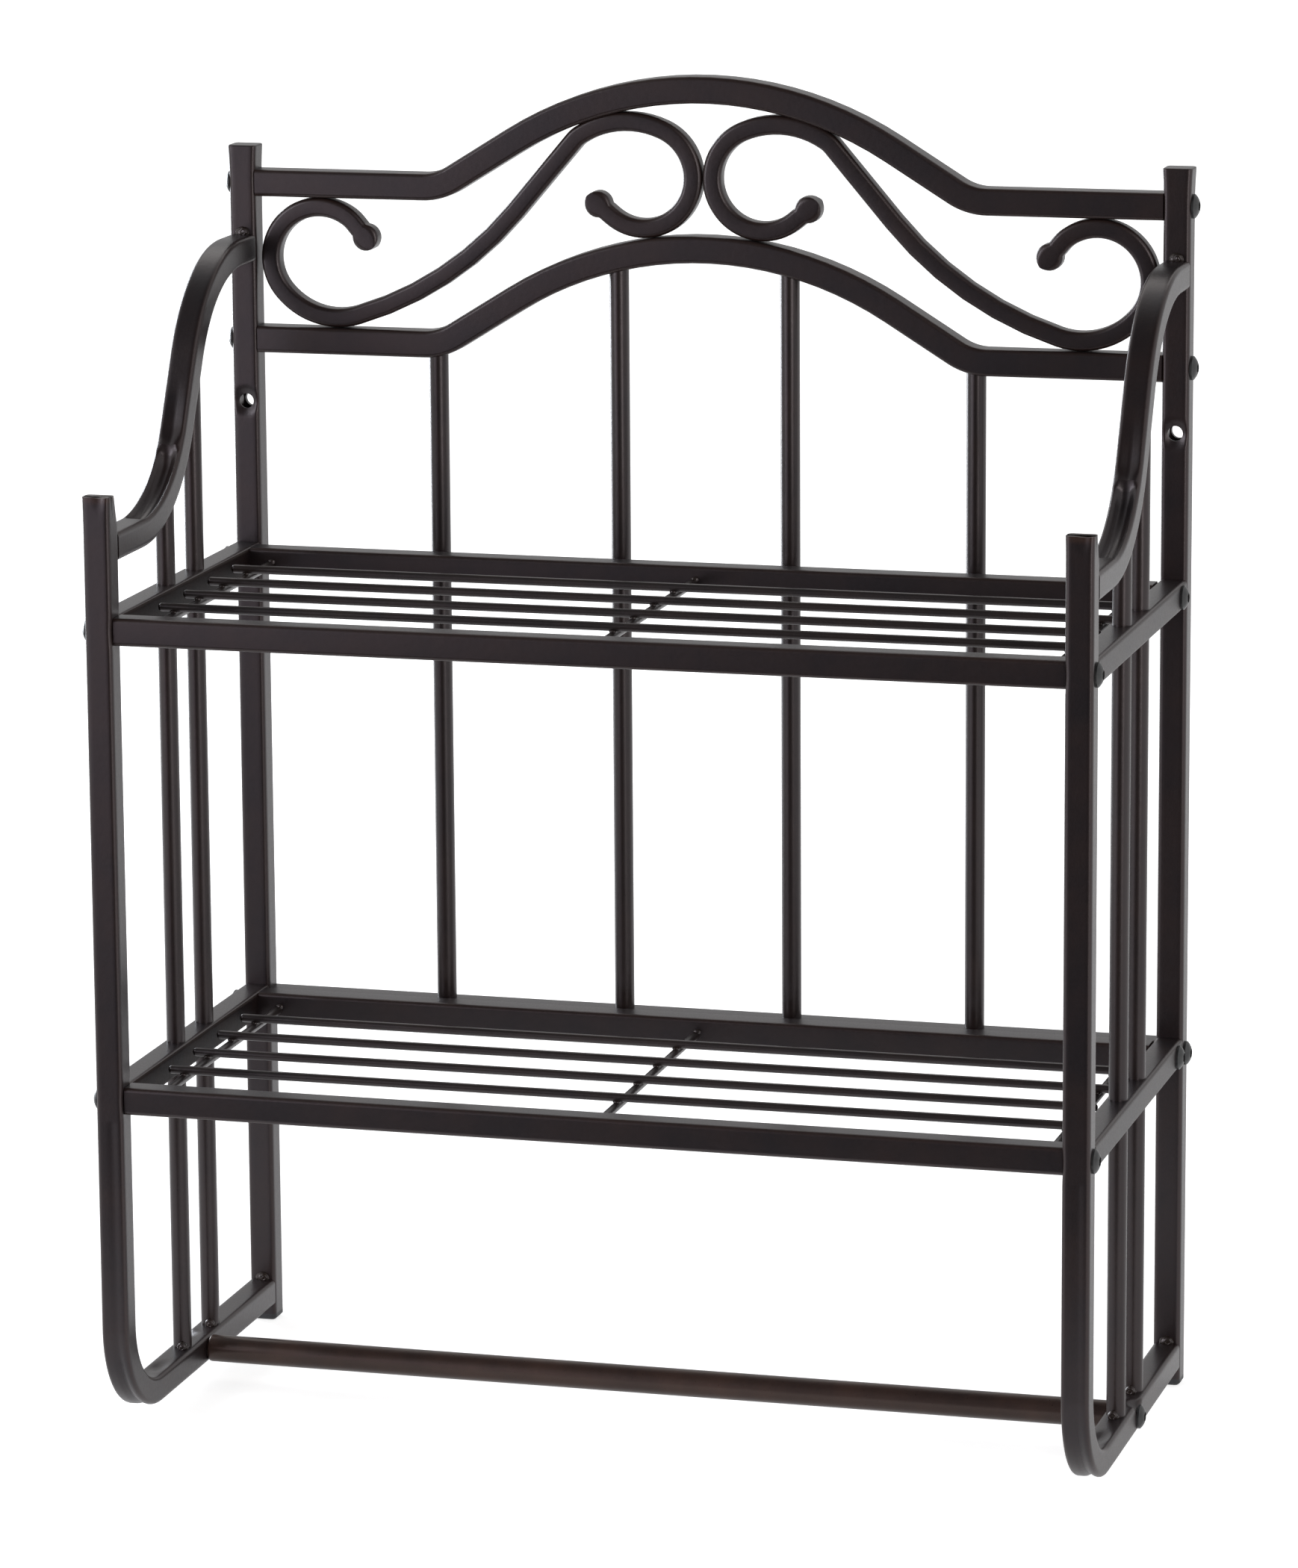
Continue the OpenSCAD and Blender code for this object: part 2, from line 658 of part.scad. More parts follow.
shelf_plugs(lower_shelf_z);  // lower_shelf_plugs
bolts(shelf_bolt_places(lower_shelf_z));  // lower_shelf_bolts
crest_plugs();
bolts(crest_bolt_places);  // crest_bolts
back_rail_plugs();
bolts([back_rail_bolt_place]);  // back_rail_bolts
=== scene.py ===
# Wall shelf in bronze-painted steel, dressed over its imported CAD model.
# Lengths are metres. +X is right, +Y goes back to the wall, +Z is up, and the origin
# is on the wall, midway between the two wall screws.

from math import acos, atan, atan2, cos, exp, pi, radians, sin, sqrt, tan

import bpy
from mathutils import Matrix, Vector


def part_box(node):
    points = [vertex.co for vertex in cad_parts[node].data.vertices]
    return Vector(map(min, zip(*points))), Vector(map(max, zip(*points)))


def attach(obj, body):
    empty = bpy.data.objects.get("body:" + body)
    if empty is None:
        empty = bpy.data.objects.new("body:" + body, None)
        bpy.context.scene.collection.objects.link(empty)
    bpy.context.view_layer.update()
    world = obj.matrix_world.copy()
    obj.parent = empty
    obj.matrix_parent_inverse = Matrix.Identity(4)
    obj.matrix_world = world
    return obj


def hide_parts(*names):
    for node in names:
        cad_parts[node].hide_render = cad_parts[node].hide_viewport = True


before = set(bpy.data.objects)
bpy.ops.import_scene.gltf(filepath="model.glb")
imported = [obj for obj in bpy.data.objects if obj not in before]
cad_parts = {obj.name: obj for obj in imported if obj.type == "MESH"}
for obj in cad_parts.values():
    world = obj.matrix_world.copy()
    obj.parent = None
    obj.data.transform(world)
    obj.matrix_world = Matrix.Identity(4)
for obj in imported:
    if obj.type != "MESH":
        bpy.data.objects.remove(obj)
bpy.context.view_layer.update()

# The view
# A long lens a little above the upper shelf and to its right, as a shop takes its
# catalogue pictures. Its place and turn were solved from the shelf's straight edges.
photo_width = 1738
focal_pixels = 9079.3
film_width = 36
farthest_seen = 50
camera_place = (0.8125, -3.0273, 0.4818)
camera_turn = radians(15.554)
camera_tilt = radians(-11.866)
camera_roll = radians(-0.399)

bpy.ops.object.select_all(action="DESELECT")
bpy.ops.object.camera_add()
camera = bpy.context.object
camera.matrix_world = (
    Matrix.Translation(camera_place)
    @ Matrix.Rotation(camera_turn, 4, "Z")
    @ Matrix.Rotation(pi / 2 + camera_tilt, 4, "X")
    @ Matrix.Rotation(camera_roll, 4, "Z")
)
camera.data.sensor_fit = "HORIZONTAL"
camera.data.sensor_width = film_width
camera.data.lens = film_width * focal_pixels / photo_width
camera.data.clip_end = farthest_seen
bpy.context.scene.camera = camera
bpy.context.scene.view_settings.view_transform = "Standard"

# The studio
# White paper under and behind the shelf, and a surround that looks white. Its light comes
# from the back and the sides; the room behind the camera is dim, as the paint shows.
studio_floor_size = 12
studio_floor_front = -0.5
studio_floor_gap = 0.0004
paper_shade = 0.62
plain_shade = 0.8
glow_by_shelf = 0.72
glow_away = 1
glow_near = 0.5
glow_far = 1.6
paper_in_gloss = 0.6
back_light = 0.66
front_light = 0.06
side_light = 1.0
back_light_from = 0.05
back_light_to = 0.45
side_light_from = 0.15
side_light_to = 0.9
shelf_middle = Vector((0, -0.11, -0.16))


def add_node(nodes, kind, inputs=None, **settings):
    """Adds a shader node, with values for some of its settings and inputs"""
    node = nodes.new("ShaderNode" + kind)
    for name, value in settings.items():
        setattr(node, name, value)
    for name, value in (inputs or {}).items():
        node.inputs[name].default_value = value
    return node


def grey(shade):
    """A grey as a colour socket takes it"""
    return shade, shade, shade, 1


def glowing_paper(name):
    """Paper that looks white to the camera, less bright by the shelf and in its gloss, and
    that lights the shelf only as plain paper does"""
    paper = bpy.data.materials.new(name)
    paper.use_nodes = True
    nodes, links = paper.node_tree.nodes, paper.node_tree.links
    nodes.clear()
    place = add_node(nodes, "TexCoord")
    away = add_node(nodes, "VectorMath", operation="LENGTH")
    lift = add_node(nodes, "MapRange", {"From Min": glow_near, "From Max": glow_far,
                                        "To Min": glow_by_shelf, "To Max": glow_away})
    glow = add_node(nodes, "Emission")
    sheet = add_node(nodes, "BsdfDiffuse", {"Color": grey(paper_shade)})
    glowing = add_node(nodes, "AddShader")
    ray = add_node(nodes, "LightPath")
    in_gloss = add_node(nodes, "Math", operation="MULTIPLY")
    in_gloss.inputs[1].default_value = paper_in_gloss
    shown = add_node(nodes, "Math", operation="MAXIMUM")
    plain = add_node(nodes, "BsdfDiffuse", {"Color": grey(plain_shade)})
    chosen = add_node(nodes, "MixShader")
    surface = add_node(nodes, "OutputMaterial")
    links.new(place.outputs["Object"], away.inputs[0])
    links.new(away.outputs["Value"], lift.inputs["Value"])
    links.new(lift.outputs[0], glow.inputs["Strength"])
    links.new(sheet.outputs[0], glowing.inputs[0])
    links.new(glow.outputs[0], glowing.inputs[1])
    links.new(ray.outputs["Is Camera Ray"], shown.inputs[0])
    links.new(ray.outputs["Is Glossy Ray"], in_gloss.inputs[0])
    links.new(in_gloss.outputs[0], shown.inputs[1])
    links.new(shown.outputs[0], chosen.inputs["Fac"])
    links.new(plain.outputs[0], chosen.inputs[1])
    links.new(glowing.outputs[0], chosen.inputs[2])
    links.new(chosen.outputs[0], surface.inputs["Surface"])
    return paper


def white_surround(name):
    """A surround that is white to the camera, and lights the shelf from its back and sides"""
    world = bpy.data.worlds.new(name)
    world.use_nodes = True
    nodes, links = world.node_tree.nodes, world.node_tree.links
    nodes.clear()
    towards = add_node(nodes, "TexCoord")
    axes = add_node(nodes, "SeparateXYZ")
    room = add_node(nodes, "MapRange", {"From Min": back_light_from, "From Max": back_light_to,
                                        "To Min": front_light, "To Max": back_light},
                    interpolation_type="SMOOTHSTEP")
    aside = add_node(nodes, "Math", operation="ABSOLUTE")
    sides = add_node(nodes, "MapRange", {"From Min": side_light_from, "From Max": side_light_to,
                                         "To Max": side_light}, interpolation_type="SMOOTHSTEP")
    around = add_node(nodes, "Math", operation="MAXIMUM")
    ray = add_node(nodes, "LightPath")
    seen = add_node(nodes, "Math", operation="MAXIMUM")
    level = add_node(nodes, "MapRange")
    surround = add_node(nodes, "Background", {"Color": grey(1)})
    surface = add_node(nodes, "OutputWorld")
    links.new(towards.outputs["Generated"], axes.inputs[0])
    links.new(axes.outputs["Y"], room.inputs["Value"])
    links.new(axes.outputs["X"], aside.inputs[0])
    links.new(aside.outputs[0], sides.inputs["Value"])
    links.new(room.outputs[0], around.inputs[0])
    links.new(sides.outputs[0], around.inputs[1])
    links.new(around.outputs[0], level.inputs["To Min"])
    links.new(ray.outputs["Is Camera Ray"], seen.inputs[0])
    links.new(ray.outputs["Is Transmission Ray"], seen.inputs[1])
    links.new(seen.outputs[0], level.inputs["Value"])
    links.new(level.outputs[0], surround.inputs["Strength"])
    links.new(surround.outputs[0], surface.inputs["Surface"])
    return world


def softbox(name, place, size, watts, colour):
    """Hangs a large soft lamp at a place, turned towards the shelf"""
    bpy.ops.object.light_add(type="AREA", location=place)
    lamp = bpy.context.object
    lamp.name = name
    lamp.rotation_euler = (shelf_middle - Vector(place)).to_track_quat("-Z", "Y").to_euler()
    lamp.data.shape = "RECTANGLE"
    lamp.data.size, lamp.data.size_y = size
    lamp.data.energy = watts
    lamp.data.color = colour


foot_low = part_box("left_foot_cap")[0]
bpy.ops.mesh.primitive_plane_add(size=studio_floor_size,
                                 location=(0, studio_floor_front + studio_floor_size / 2,
                                           foot_low.z - studio_floor_gap))
studio_floor = bpy.context.object
bpy.ops.object.transform_apply(location=True, rotation=True, scale=True)
studio_floor.name = "studio_floor"
studio_floor.data.materials.append(glowing_paper("floor_paper"))
bpy.context.scene.world = white_surround("white_surround")

softbox("rear_box", place=(-0.2, 1.3, 1.4), size=(1.9, 0.7), watts=5.4, colour=(1, 0.97, 0.93))
softbox("left_box", place=(-1.5, -1.6, 0.4), size=(0.6, 1.2), watts=15, colour=(0.94, 0.94, 1))
softbox("side_box", place=(-1.9, 1.1, 0.3), size=(0.7, 1.5), watts=40, colour=(0.88, 0.94, 1))
softbox("low_box", place=(-0.75, -1.5, -0.15), size=(0.5, 0.6), watts=1.3, colour=(0.98, 0.85, 0.95))
softbox("right_box", place=(1.3, -1.6, 0.3), size=(0.5, 1.5), watts=12, colour=(1, 0.93, 0.90))

# Front posts with the bottom rails
# Each is one square steel tube, painted satin dark bronze. It comes forward along the
# bottom, turns up through a tight bend that leaves a crease down its outer face, and its
# top is pressed shut with the back sloped forward.
post_low, post_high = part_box("left_front_post")
tube_side = post_high.x - post_low.x
half_tube = tube_side / 2
tube_corner = 0.002
corner_arc_middle = 0.71
flat_cuts = 7
post_bend_radius = 0.040
crease_depth = 0.0013
crease_width = 0.0016
crease_offset = 0.0012
crease_past_bend = 0.012
crease_start = -0.25
crease_fade_in = 0.6
crease_end = pi / 2 + 0.28
crease_fade_out = 0.5
fine_margin = 0.004
same_point = 0.000001
rod_pieces = 36
bend_pieces = 12
rail_pieces = 10
top_pieces = 4
top_press_height = 0.014
top_press_depth = 0.004
top_flare = 1.03
top_rim = 0.99
top_wear_and_highlight = 3
# How brown the front posts' tops are painted: wear, together with a painted highlight on the top face
top_dent_offset = 0.002
top_dent = (0, 0.0007, -0.0004)
top_dent_reach = (0.004, 0.003, 0.005)
rail_hollow = 0.0013
rail_hollow_offset = 0.012
rail_hollow_reach = (0.0048, 0.011, 0.004)
bolt_dip = 0.0026
bolt_dip_inward = bolt_dip / 3
bolt_dip_reach = (0.008, 0.0085, 0.007)
rail_pinch = 0.0005
rail_pinch_reach = (0.006, 0.012, 0.011)
post_middle = -post_low.x - half_tube
post_centre = post_low.y + half_tube
wall_face = post_high.y
rail_top = post_low.z + tube_side
bolts_low, bolts_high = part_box("towel_bar_bolts")
bolt_middle = (bolts_low.y + bolts_high.y) / 2
shelf_front_rails = ["upper_shelf_front_rail", "lower_shelf_front_rail"]

along_x = Vector((1, 0, 0))
backward = Vector((0, 1, 0))
forward = Vector((0, -1, 0))
upward = Vector((0, 0, 1))

bronze_sheen = (1, 0.92, 0.96)
paint_cloud_scale = 38
paint_cloud_brown = 0.4
paint_peel_scale = 420
paint_peel_height = 0.00012
paint_grain_height = 0.00004
paint_smoother = 0.07
paint_rougher = 0.09
paint_gloss = 0.5
# Gloss and roughness where a face is painted with shade
shaded_paint_gloss = 0.05
shaded_paint_rougher = 0.15


def start_material(name):
    """Starts a material, and gives it with its nodes, its links and its shader"""
    material = bpy.data.materials.new(name)
    material.use_nodes = True
    nodes, links = material.node_tree.nodes, material.node_tree.links
    return material, nodes, links, nodes["Principled BSDF"]


def noise(nodes, links, scale, detail=2, roughness=0.5):
    """Adds noise that stays where it is on the piece"""
    place = add_node(nodes, "TexCoord")
    texture = add_node(nodes, "TexNoise", {"Scale": scale, "Detail": detail, "Roughness": roughness})
    links.new(place.outputs["Object"], texture.inputs["Vector"])
    return texture.outputs["Fac"]


def blend_colours(nodes, links, share, dark, light, start=0, end=1):
    """Blends two colours over the part of a share from start to end"""
    ramp = add_node(nodes, "ValToRGB")
    for stop, place, colour in zip(ramp.color_ramp.elements, (start, end), (dark, light)):
        stop.position = place
        stop.color = (*colour, 1)
    links.new(share, ramp.inputs["Fac"])
    return ramp.outputs["Color"]


def spread_out(nodes, links, share, low, high):
    """Turns a share into a value between low and high"""
    spread = add_node(nodes, "MapRange", {"To Min": low, "To Max": high})
    links.new(share, spread.inputs["Value"])
    return spread.outputs[0]


def add_bump(nodes, links, height, strength, distance):
    """Adds a bump that follows a height"""
    bump = add_node(nodes, "Bump", {"Strength": strength, "Distance": distance})
    links.new(height, bump.inputs["Height"])
    return bump


def bronze_paint(name, base, brown, grain_size, roughness, sheen=bronze_sheen):
    """Satin baked paint: clouded dark colour, browner edges where it wears, fine grain and soft
    orange peel. Attribute edge says how far a point takes the brown: mostly wear, and on the
    front posts' tops wear together with a painted highlight. A second attribute takes gloss
    off a face, as painted shade."""
    paint, nodes, links, shader = start_material(name)
    shader.inputs["Specular Tint"].default_value = (*sheen, 1)
    clouds = noise(nodes, links, paint_cloud_scale, detail=5, roughness=0.6)
    grain = noise(nodes, links, 1 / grain_size, detail=3)
    peel = noise(nodes, links, paint_peel_scale)

    clouded = [b + paint_cloud_brown * (w - b) for b, w in zip(base, brown)]
    depth = blend_colours(nodes, links, clouds, base, clouded, start=0.35, end=0.75)
    wear_and_highlight = add_node(nodes, "Attribute", attribute_name="edge")
    wear_and_highlight_share = add_node(nodes, "Math", operation="MULTIPLY")
    edges = add_node(nodes, "Mix", data_type="RGBA")
    edges.inputs["B"].default_value = (*brown, 1)
    links.new(wear_and_highlight.outputs["Fac"], wear_and_highlight_share.inputs[0])
    links.new(grain, wear_and_highlight_share.inputs[1])
    links.new(wear_and_highlight_share.outputs[0], edges.inputs["Factor"])
    links.new(depth, edges.inputs["A"])
    links.new(edges.outputs["Result"], shader.inputs["Base Color"])

    # Painted shade: this attribute takes gloss off a face and roughens it
    painted_shade = add_node(nodes, "Attribute", attribute_name="painted_shade").outputs["Fac"]
    gloss = spread_out(nodes, links, painted_shade, paint_gloss, shaded_paint_gloss)
    links.new(gloss, shader.inputs["Specular IOR Level"])
    rough = add_node(nodes, "Math", operation="MULTIPLY_ADD")
    rough.inputs[1].default_value = shaded_paint_rougher
    links.new(painted_shade, rough.inputs[0])
    uneven = spread_out(nodes, links, grain, roughness - paint_smoother, roughness + paint_rougher)
    links.new(uneven, rough.inputs[2])
    links.new(rough.outputs[0], shader.inputs["Roughness"])

    fine = add_bump(nodes, links, grain, strength=0.25, distance=paint_grain_height)
    broad = add_bump(nodes, links, peel, strength=0.3, distance=paint_peel_height)
    links.new(fine.outputs["Normal"], broad.inputs["Normal"])
    links.new(broad.outputs["Normal"], shader.inputs["Normal"])
    return paint


tube_paint = bronze_paint("tube_paint", base=(0.0062, 0.0047, 0.0056), brown=(0.026, 0.0135, 0.010),
                          grain_size=0.0007, roughness=0.33)


def lay_section(name, place, heading, across, side, corner, cuts=0):
    """Starts a square bar: its end face, with rounded corners, facing along heading. Cuts are
    the points added along each flat, where the bar is dented later. Corners are marked as wear."""
    bpy.ops.object.select_all(action="DESELECT")
    turn = Matrix((across, heading.cross(across), heading)).transposed()
    bpy.ops.mesh.primitive_plane_add(size=side, location=place, rotation=turn.to_euler())
    bar = bpy.context.object
    bar.name = name
    bpy.ops.object.transform_apply(location=True, rotation=True, scale=True)
    bpy.ops.object.mode_set(mode="EDIT")
    bpy.ops.mesh.bevel(offset=corner, offset_type="OFFSET", segments=4, affect="VERTICES")
    bpy.ops.mesh.select_all(action="DESELECT")
    bpy.ops.object.mode_set(mode="OBJECT")
    bpy.context.tool_settings.mesh_select_mode = (False, True, False)
    for line in bar.data.edges:
        start, end = [bar.data.vertices[i].co for i in line.vertices]
        line.select = (end - start).length > side / 3
    bpy.ops.object.mode_set(mode="EDIT")
    if cuts:
        bpy.ops.mesh.subdivide(number_cuts=cuts)
    bpy.ops.object.mode_set(mode="OBJECT")
    bpy.context.tool_settings.mesh_select_mode = (True, False, False)
    wear_and_highlight = bar.data.attributes.new("edge", "FLOAT", "POINT")
    flat = side / 2 - corner
    for point in bar.data.vertices:
        out = point.co - Vector(place)
        reach = min(abs(out.dot(across)), abs(out.dot(heading.cross(across)))) - flat
        wear_and_highlight.data[point.index].value = max(reach, 0) / (corner * corner_arc_middle)
    bpy.ops.object.mode_set(mode="EDIT")
    bpy.ops.mesh.select_all(action="SELECT")
    return bar


def run_bar(place, heading, across, runs, bend_step=radians(5)):
    """Carries the selected end face along straights (length,), straights in equal pieces
    (length, "in", pieces) and bends (radius, angle)"""
    place, heading = Vector(place), Vector(heading)
    for run in runs:
        if len(run) == 2:
            radius, angle = run
            inward = across.cross(heading) * (1 if angle > 0 else -1)
            centre = place + inward * radius
            bpy.ops.mesh.spin(steps=max(2, round(abs(angle) / bend_step)), angle=-angle,
                              center=centre, axis=across)
            spun = Matrix.Rotation(angle, 3, across)
            place = centre + spun @ (place - centre)
            heading = spun @ heading
        else:
            pieces = run[2] if len(run) == 3 else 1
            for piece in range(pieces):
                step = heading * run[0] / pieces
                bpy.ops.mesh.extrude_region_move(TRANSFORM_OT_translate={"value": step})
                place = place + step
    return place, heading


def press_in(piece, centre, push, reach):
    """Dents a piece in object mode: points near a centre move by a push that fades at its reach"""
    centre, push, reach = Vector(centre), Vector(push), Vector(reach)
    for point in piece.data.vertices:
        away = point.co - centre
        far = sqrt(sum((away[i] / reach[i]) ** 2 for i in range(3)))
        if far < 1:
            point.co += push * (1 - far * far) ** 2


def finish_piece(piece, replaced, paint, smooth_angle=radians(38)):
    """Points the faces out, shades and paints a piece, and hangs it on the frame"""
    if piece.mode == "OBJECT":
        bpy.ops.object.mode_set(mode="EDIT")
    bpy.ops.mesh.select_all(action="SELECT")
    bpy.ops.mesh.remove_doubles(threshold=same_point)
    bpy.ops.mesh.normals_make_consistent(inside=False)
    bpy.ops.object.mode_set(mode="OBJECT")
    bpy.ops.object.shade_smooth_by_angle(angle=smooth_angle)
    bpy.ops.object.modifier_add(type="WEIGHTED_NORMAL")
    piece.modifiers[-1].keep_sharp = True
    bpy.ops.object.modifier_apply(modifier=piece.modifiers[-1].name)
    piece.data.materials.clear()
    piece.data.materials.append(paint)
    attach(piece, "root")
    for node in replaced:
        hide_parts(node)


def share_of(value):
    """Keeps a value between 0 and 1"""
    return max(0, min(1, value))


def crease_bend(post, middle, bend_centre):
    """Presses the crease into the outer face of a post's bend. Turn is the angle round the
    bend, 0 where it meets the upright and a right angle where it meets the bottom rail."""
    outer_half = post_bend_radius + half_tube / 2
    for point in post.data.vertices:
        away = Vector((0, point.co.y - bend_centre.y, point.co.z - bend_centre.z))
        if away.length > outer_half and max(away.y, away.z) < crease_past_bend:
            turn = atan2(-away.z, -away.y)
            along = (share_of((turn - crease_start) / crease_fade_in)
                     * share_of((crease_end - turn) / crease_fade_out))
            side_step = (point.co.x - middle - crease_offset) / crease_width
            point.co -= away.normalized() * crease_depth * along * exp(-side_step * side_step)


def press_top(post, middle):
    """Presses a post's top shut: the back slopes forward and the sides flare. Its top is painted
    browner, partly as wear and partly as a painted highlight
    """
    wear_and_highlight = post.data.attributes["edge"].data
    for point in post.data.vertices:
        share = (point.co.z - (post_high.z - top_press_height)) / top_press_height
        if share > 0:
            if point.co.y > post_centre:
                point.co.y -= top_press_depth * share
            point.co.x = middle + (point.co.x - middle) * (1 + (top_flare - 1) * share * share)
        # The top face is painted browner: partly wear, partly a painted highlight
        if share > top_rim:
            wear_and_highlight[point.index].value = top_wear_and_highlight
    press_in(post, (middle + top_dent_offset, post_low.y, post_high.z), top_dent, top_dent_reach)


def bent_front_post(name, middle):
    inner_side = -1 if middle > 0 else 1
    rail_height = post_low.z + half_tube
    start = (middle, wall_face, rail_height)
    bend_centre = Vector((middle, post_centre + post_bend_radius, rail_height + post_bend_radius))
    rail_run = wall_face - bend_centre.y
    rod_back = wall_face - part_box("left_rear_side_rod")[1].y - fine_margin
    rod_front = wall_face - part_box("left_front_side_rod")[0].y + fine_margin
    runs = [(rod_back,), (rod_front - rod_back, "in", rod_pieces),
            (rail_run - rod_front, "in", bend_pieces), (post_bend_radius, -pi / 2)]
    height = bend_centre.z
    for rail in reversed(shelf_front_rails):
        low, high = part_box(rail)
        runs += [(low.z - fine_margin - height,), (high.z - low.z + 2 * fine_margin, "in", rail_pieces)]
        height = high.z + fine_margin
    runs += [(post_high.z - top_press_height - height,), (top_press_height, "in", top_pieces)]

    post = lay_section(name, start, forward, along_x, tube_side, tube_corner, cuts=flat_cuts)
    run_bar(start, forward, along_x, runs)
    bpy.ops.object.mode_set(mode="OBJECT")
    crease_bend(post, middle, bend_centre)
    press_top(post, middle)
    press_in(post, (middle, bend_centre.y + rail_hollow_offset, rail_top), (0, 0, -rail_hollow),
             rail_hollow_reach)
    press_in(post, (middle - inner_side * half_tube, bolt_middle, rail_top),
             (inner_side * bolt_dip_inward, 0, -bolt_dip), bolt_dip_reach)
    for rail in shelf_front_rails:
        low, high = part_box(rail)
        press_in(post, (middle + inner_side * half_tube, post_centre, (low.z + high.z) / 2),
                 (-inner_side * rail_pinch, 0, 0), rail_pinch_reach)
    finish_piece(post, [name], tube_paint)


bent_front_post("left_front_post", -post_middle)
bent_front_post("right_front_post", post_middle)

# Rear posts
# Straight square tubes against the wall, each with a closed top that flares a little
# and a wall screw's hole, punched through both walls from the front with a dimple.
rear_low, rear_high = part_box("left_rear_post")
rear_centre = (rear_low.y + rear_high.y) / 2
rear_mid_height = (rear_low.z + rear_high.z) / 2
tube_wall = 0.0012
wall_behind_dimple = 2 * tube_wall
screw_hole = 0.007
hole_dimple = 0.0024
dimple_reach = (0.0078, 0.004, 0.0078)
dimple_room = 0.010
dimple_pieces = 14
rear_cuts = 5
rear_flare = 1.10
rear_flare_height = 0.018
rear_flare_pieces = 6
rear_top_rounding = 0.0007


def cut_away(piece, cutter):
    """Takes the shape of a cutter out of a piece, and deletes the cutter"""
    bpy.ops.object.select_all(action="DESELECT")
    bpy.context.view_layer.objects.active = piece
    bpy.ops.object.modifier_add(type="BOOLEAN")
    piece.modifiers[-1].object = cutter
    piece.modifiers[-1].solver = "EXACT"
    bpy.ops.object.modifier_apply(modifier=piece.modifiers[-1].name)
    bpy.data.objects.remove(cutter)


def straight_rear_post(name, middle):
    start = (middle, rear_centre, rear_low.z)
    post = lay_section(name, start, upward, along_x, tube_side, tube_corner, cuts=rear_cuts)
    run_bar(start, upward, along_x,
            [(-dimple_room - rear_low.z,), (2 * dimple_room, "in", dimple_pieces),
             (rear_high.z - dimple_room - rear_flare_height,),
             (rear_flare_height, "in", rear_flare_pieces)])
    bpy.ops.mesh.bevel(offset=rear_top_rounding, segments=3, affect="EDGES")
    bpy.ops.object.mode_set(mode="OBJECT")
    for point in post.data.vertices:
        share = (point.co.z - rear_high.z) / rear_flare_height + 1
        if share > 0:
            point.co.x = middle + (point.co.x - middle) * (1 + (rear_flare - 1) * share * share)
    press_in(post, (middle, rear_low.y, 0), (0, hole_dimple, 0), dimple_reach)
    bpy.ops.mesh.primitive_cube_add(size=1, location=(middle, rear_centre, rear_mid_height))
    bore = bpy.context.object
    bore_side = tube_side - 2 * wall_behind_dimple
    bore.scale = (bore_side, bore_side, rear_high.z - rear_low.z - 2 * wall_behind_dimple)
    cut_away(post, bore)
    bpy.ops.mesh.primitive_cylinder_add(vertices=32, radius=screw_hole / 2, depth=2 * tube_side,
                                        location=(middle, rear_centre, 0), rotation=(pi / 2, 0, 0))
    cut_away(post, bpy.context.object)
    bpy.ops.object.select_all(action="DESELECT")
    post.select_set(True)
    finish_piece(post, [name], tube_paint)


straight_rear_post("left_rear_post", -post_middle)
straight_rear_post("right_rear_post", post_middle)

# Arms
# One square tube on each side falls in an S-bend from the rear post to the front post,
# welded at both ends. The inner wall of the lower bend has folded in to a deep trough.
# At the trough's lip the wall bulges out, with a crease down its middle that fades upwards.
arm_low, arm_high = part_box("left_arm")
arm_front_run = 0.0347
arm_rear_run = 0.0178
arm_fullness = 0.69
arm_straight_pieces = 10
arm_bend_step = radians(2)
arm_fold_depth = 0.0038
arm_fold_half_width = 0.0049
arm_fold_side_slope = 1.5
arm_fold_foot = radians(2)
arm_fold_foot_fade = 0.05
arm_fold_lip = radians(51)
arm_lip_run = 0.012
arm_lip_share = 0.4
arm_bulge = 0.0032
arm_bulge_reach = 0.011
arm_bulge_squareness = 4
arm_crease_depth = 0.0018
arm_crease_reach = 0.034


def s_bend(run, rise, fullness):
    """Steepest slope of an S-bend and the sum of its two bends' radii"""
    slope = (1 + fullness) * atan(rise / run)
    return slope, (run * tan(slope) - rise) / (1 / cos(slope) - 1)


def fold_depth(turn, above_lip, sideways):
    """How far an arm's inner wall is pressed in, or out where this is negative. Turn is the
    angle round the lower bend, and sideways goes from 0 at the middle to 1 at the sides."""
    if above_lip < 0:
        from_lip = arm_lip_share - above_lip / arm_lip_run
        from_foot = (turn - arm_fold_foot) / arm_fold_foot_fade
        across = min(1, arm_fold_side_slope * (1 - sideways))
        return arm_fold_depth * share_of(min(from_lip, from_foot)) * across
    bulge = arm_bulge * max(0, 1 - above_lip / arm_bulge_reach) ** 2
    crease = arm_crease_depth * max(0, 1 - above_lip / arm_crease_reach)
    return crease * (1 - sideways) - bulge * (1 - sideways ** arm_bulge_squareness)


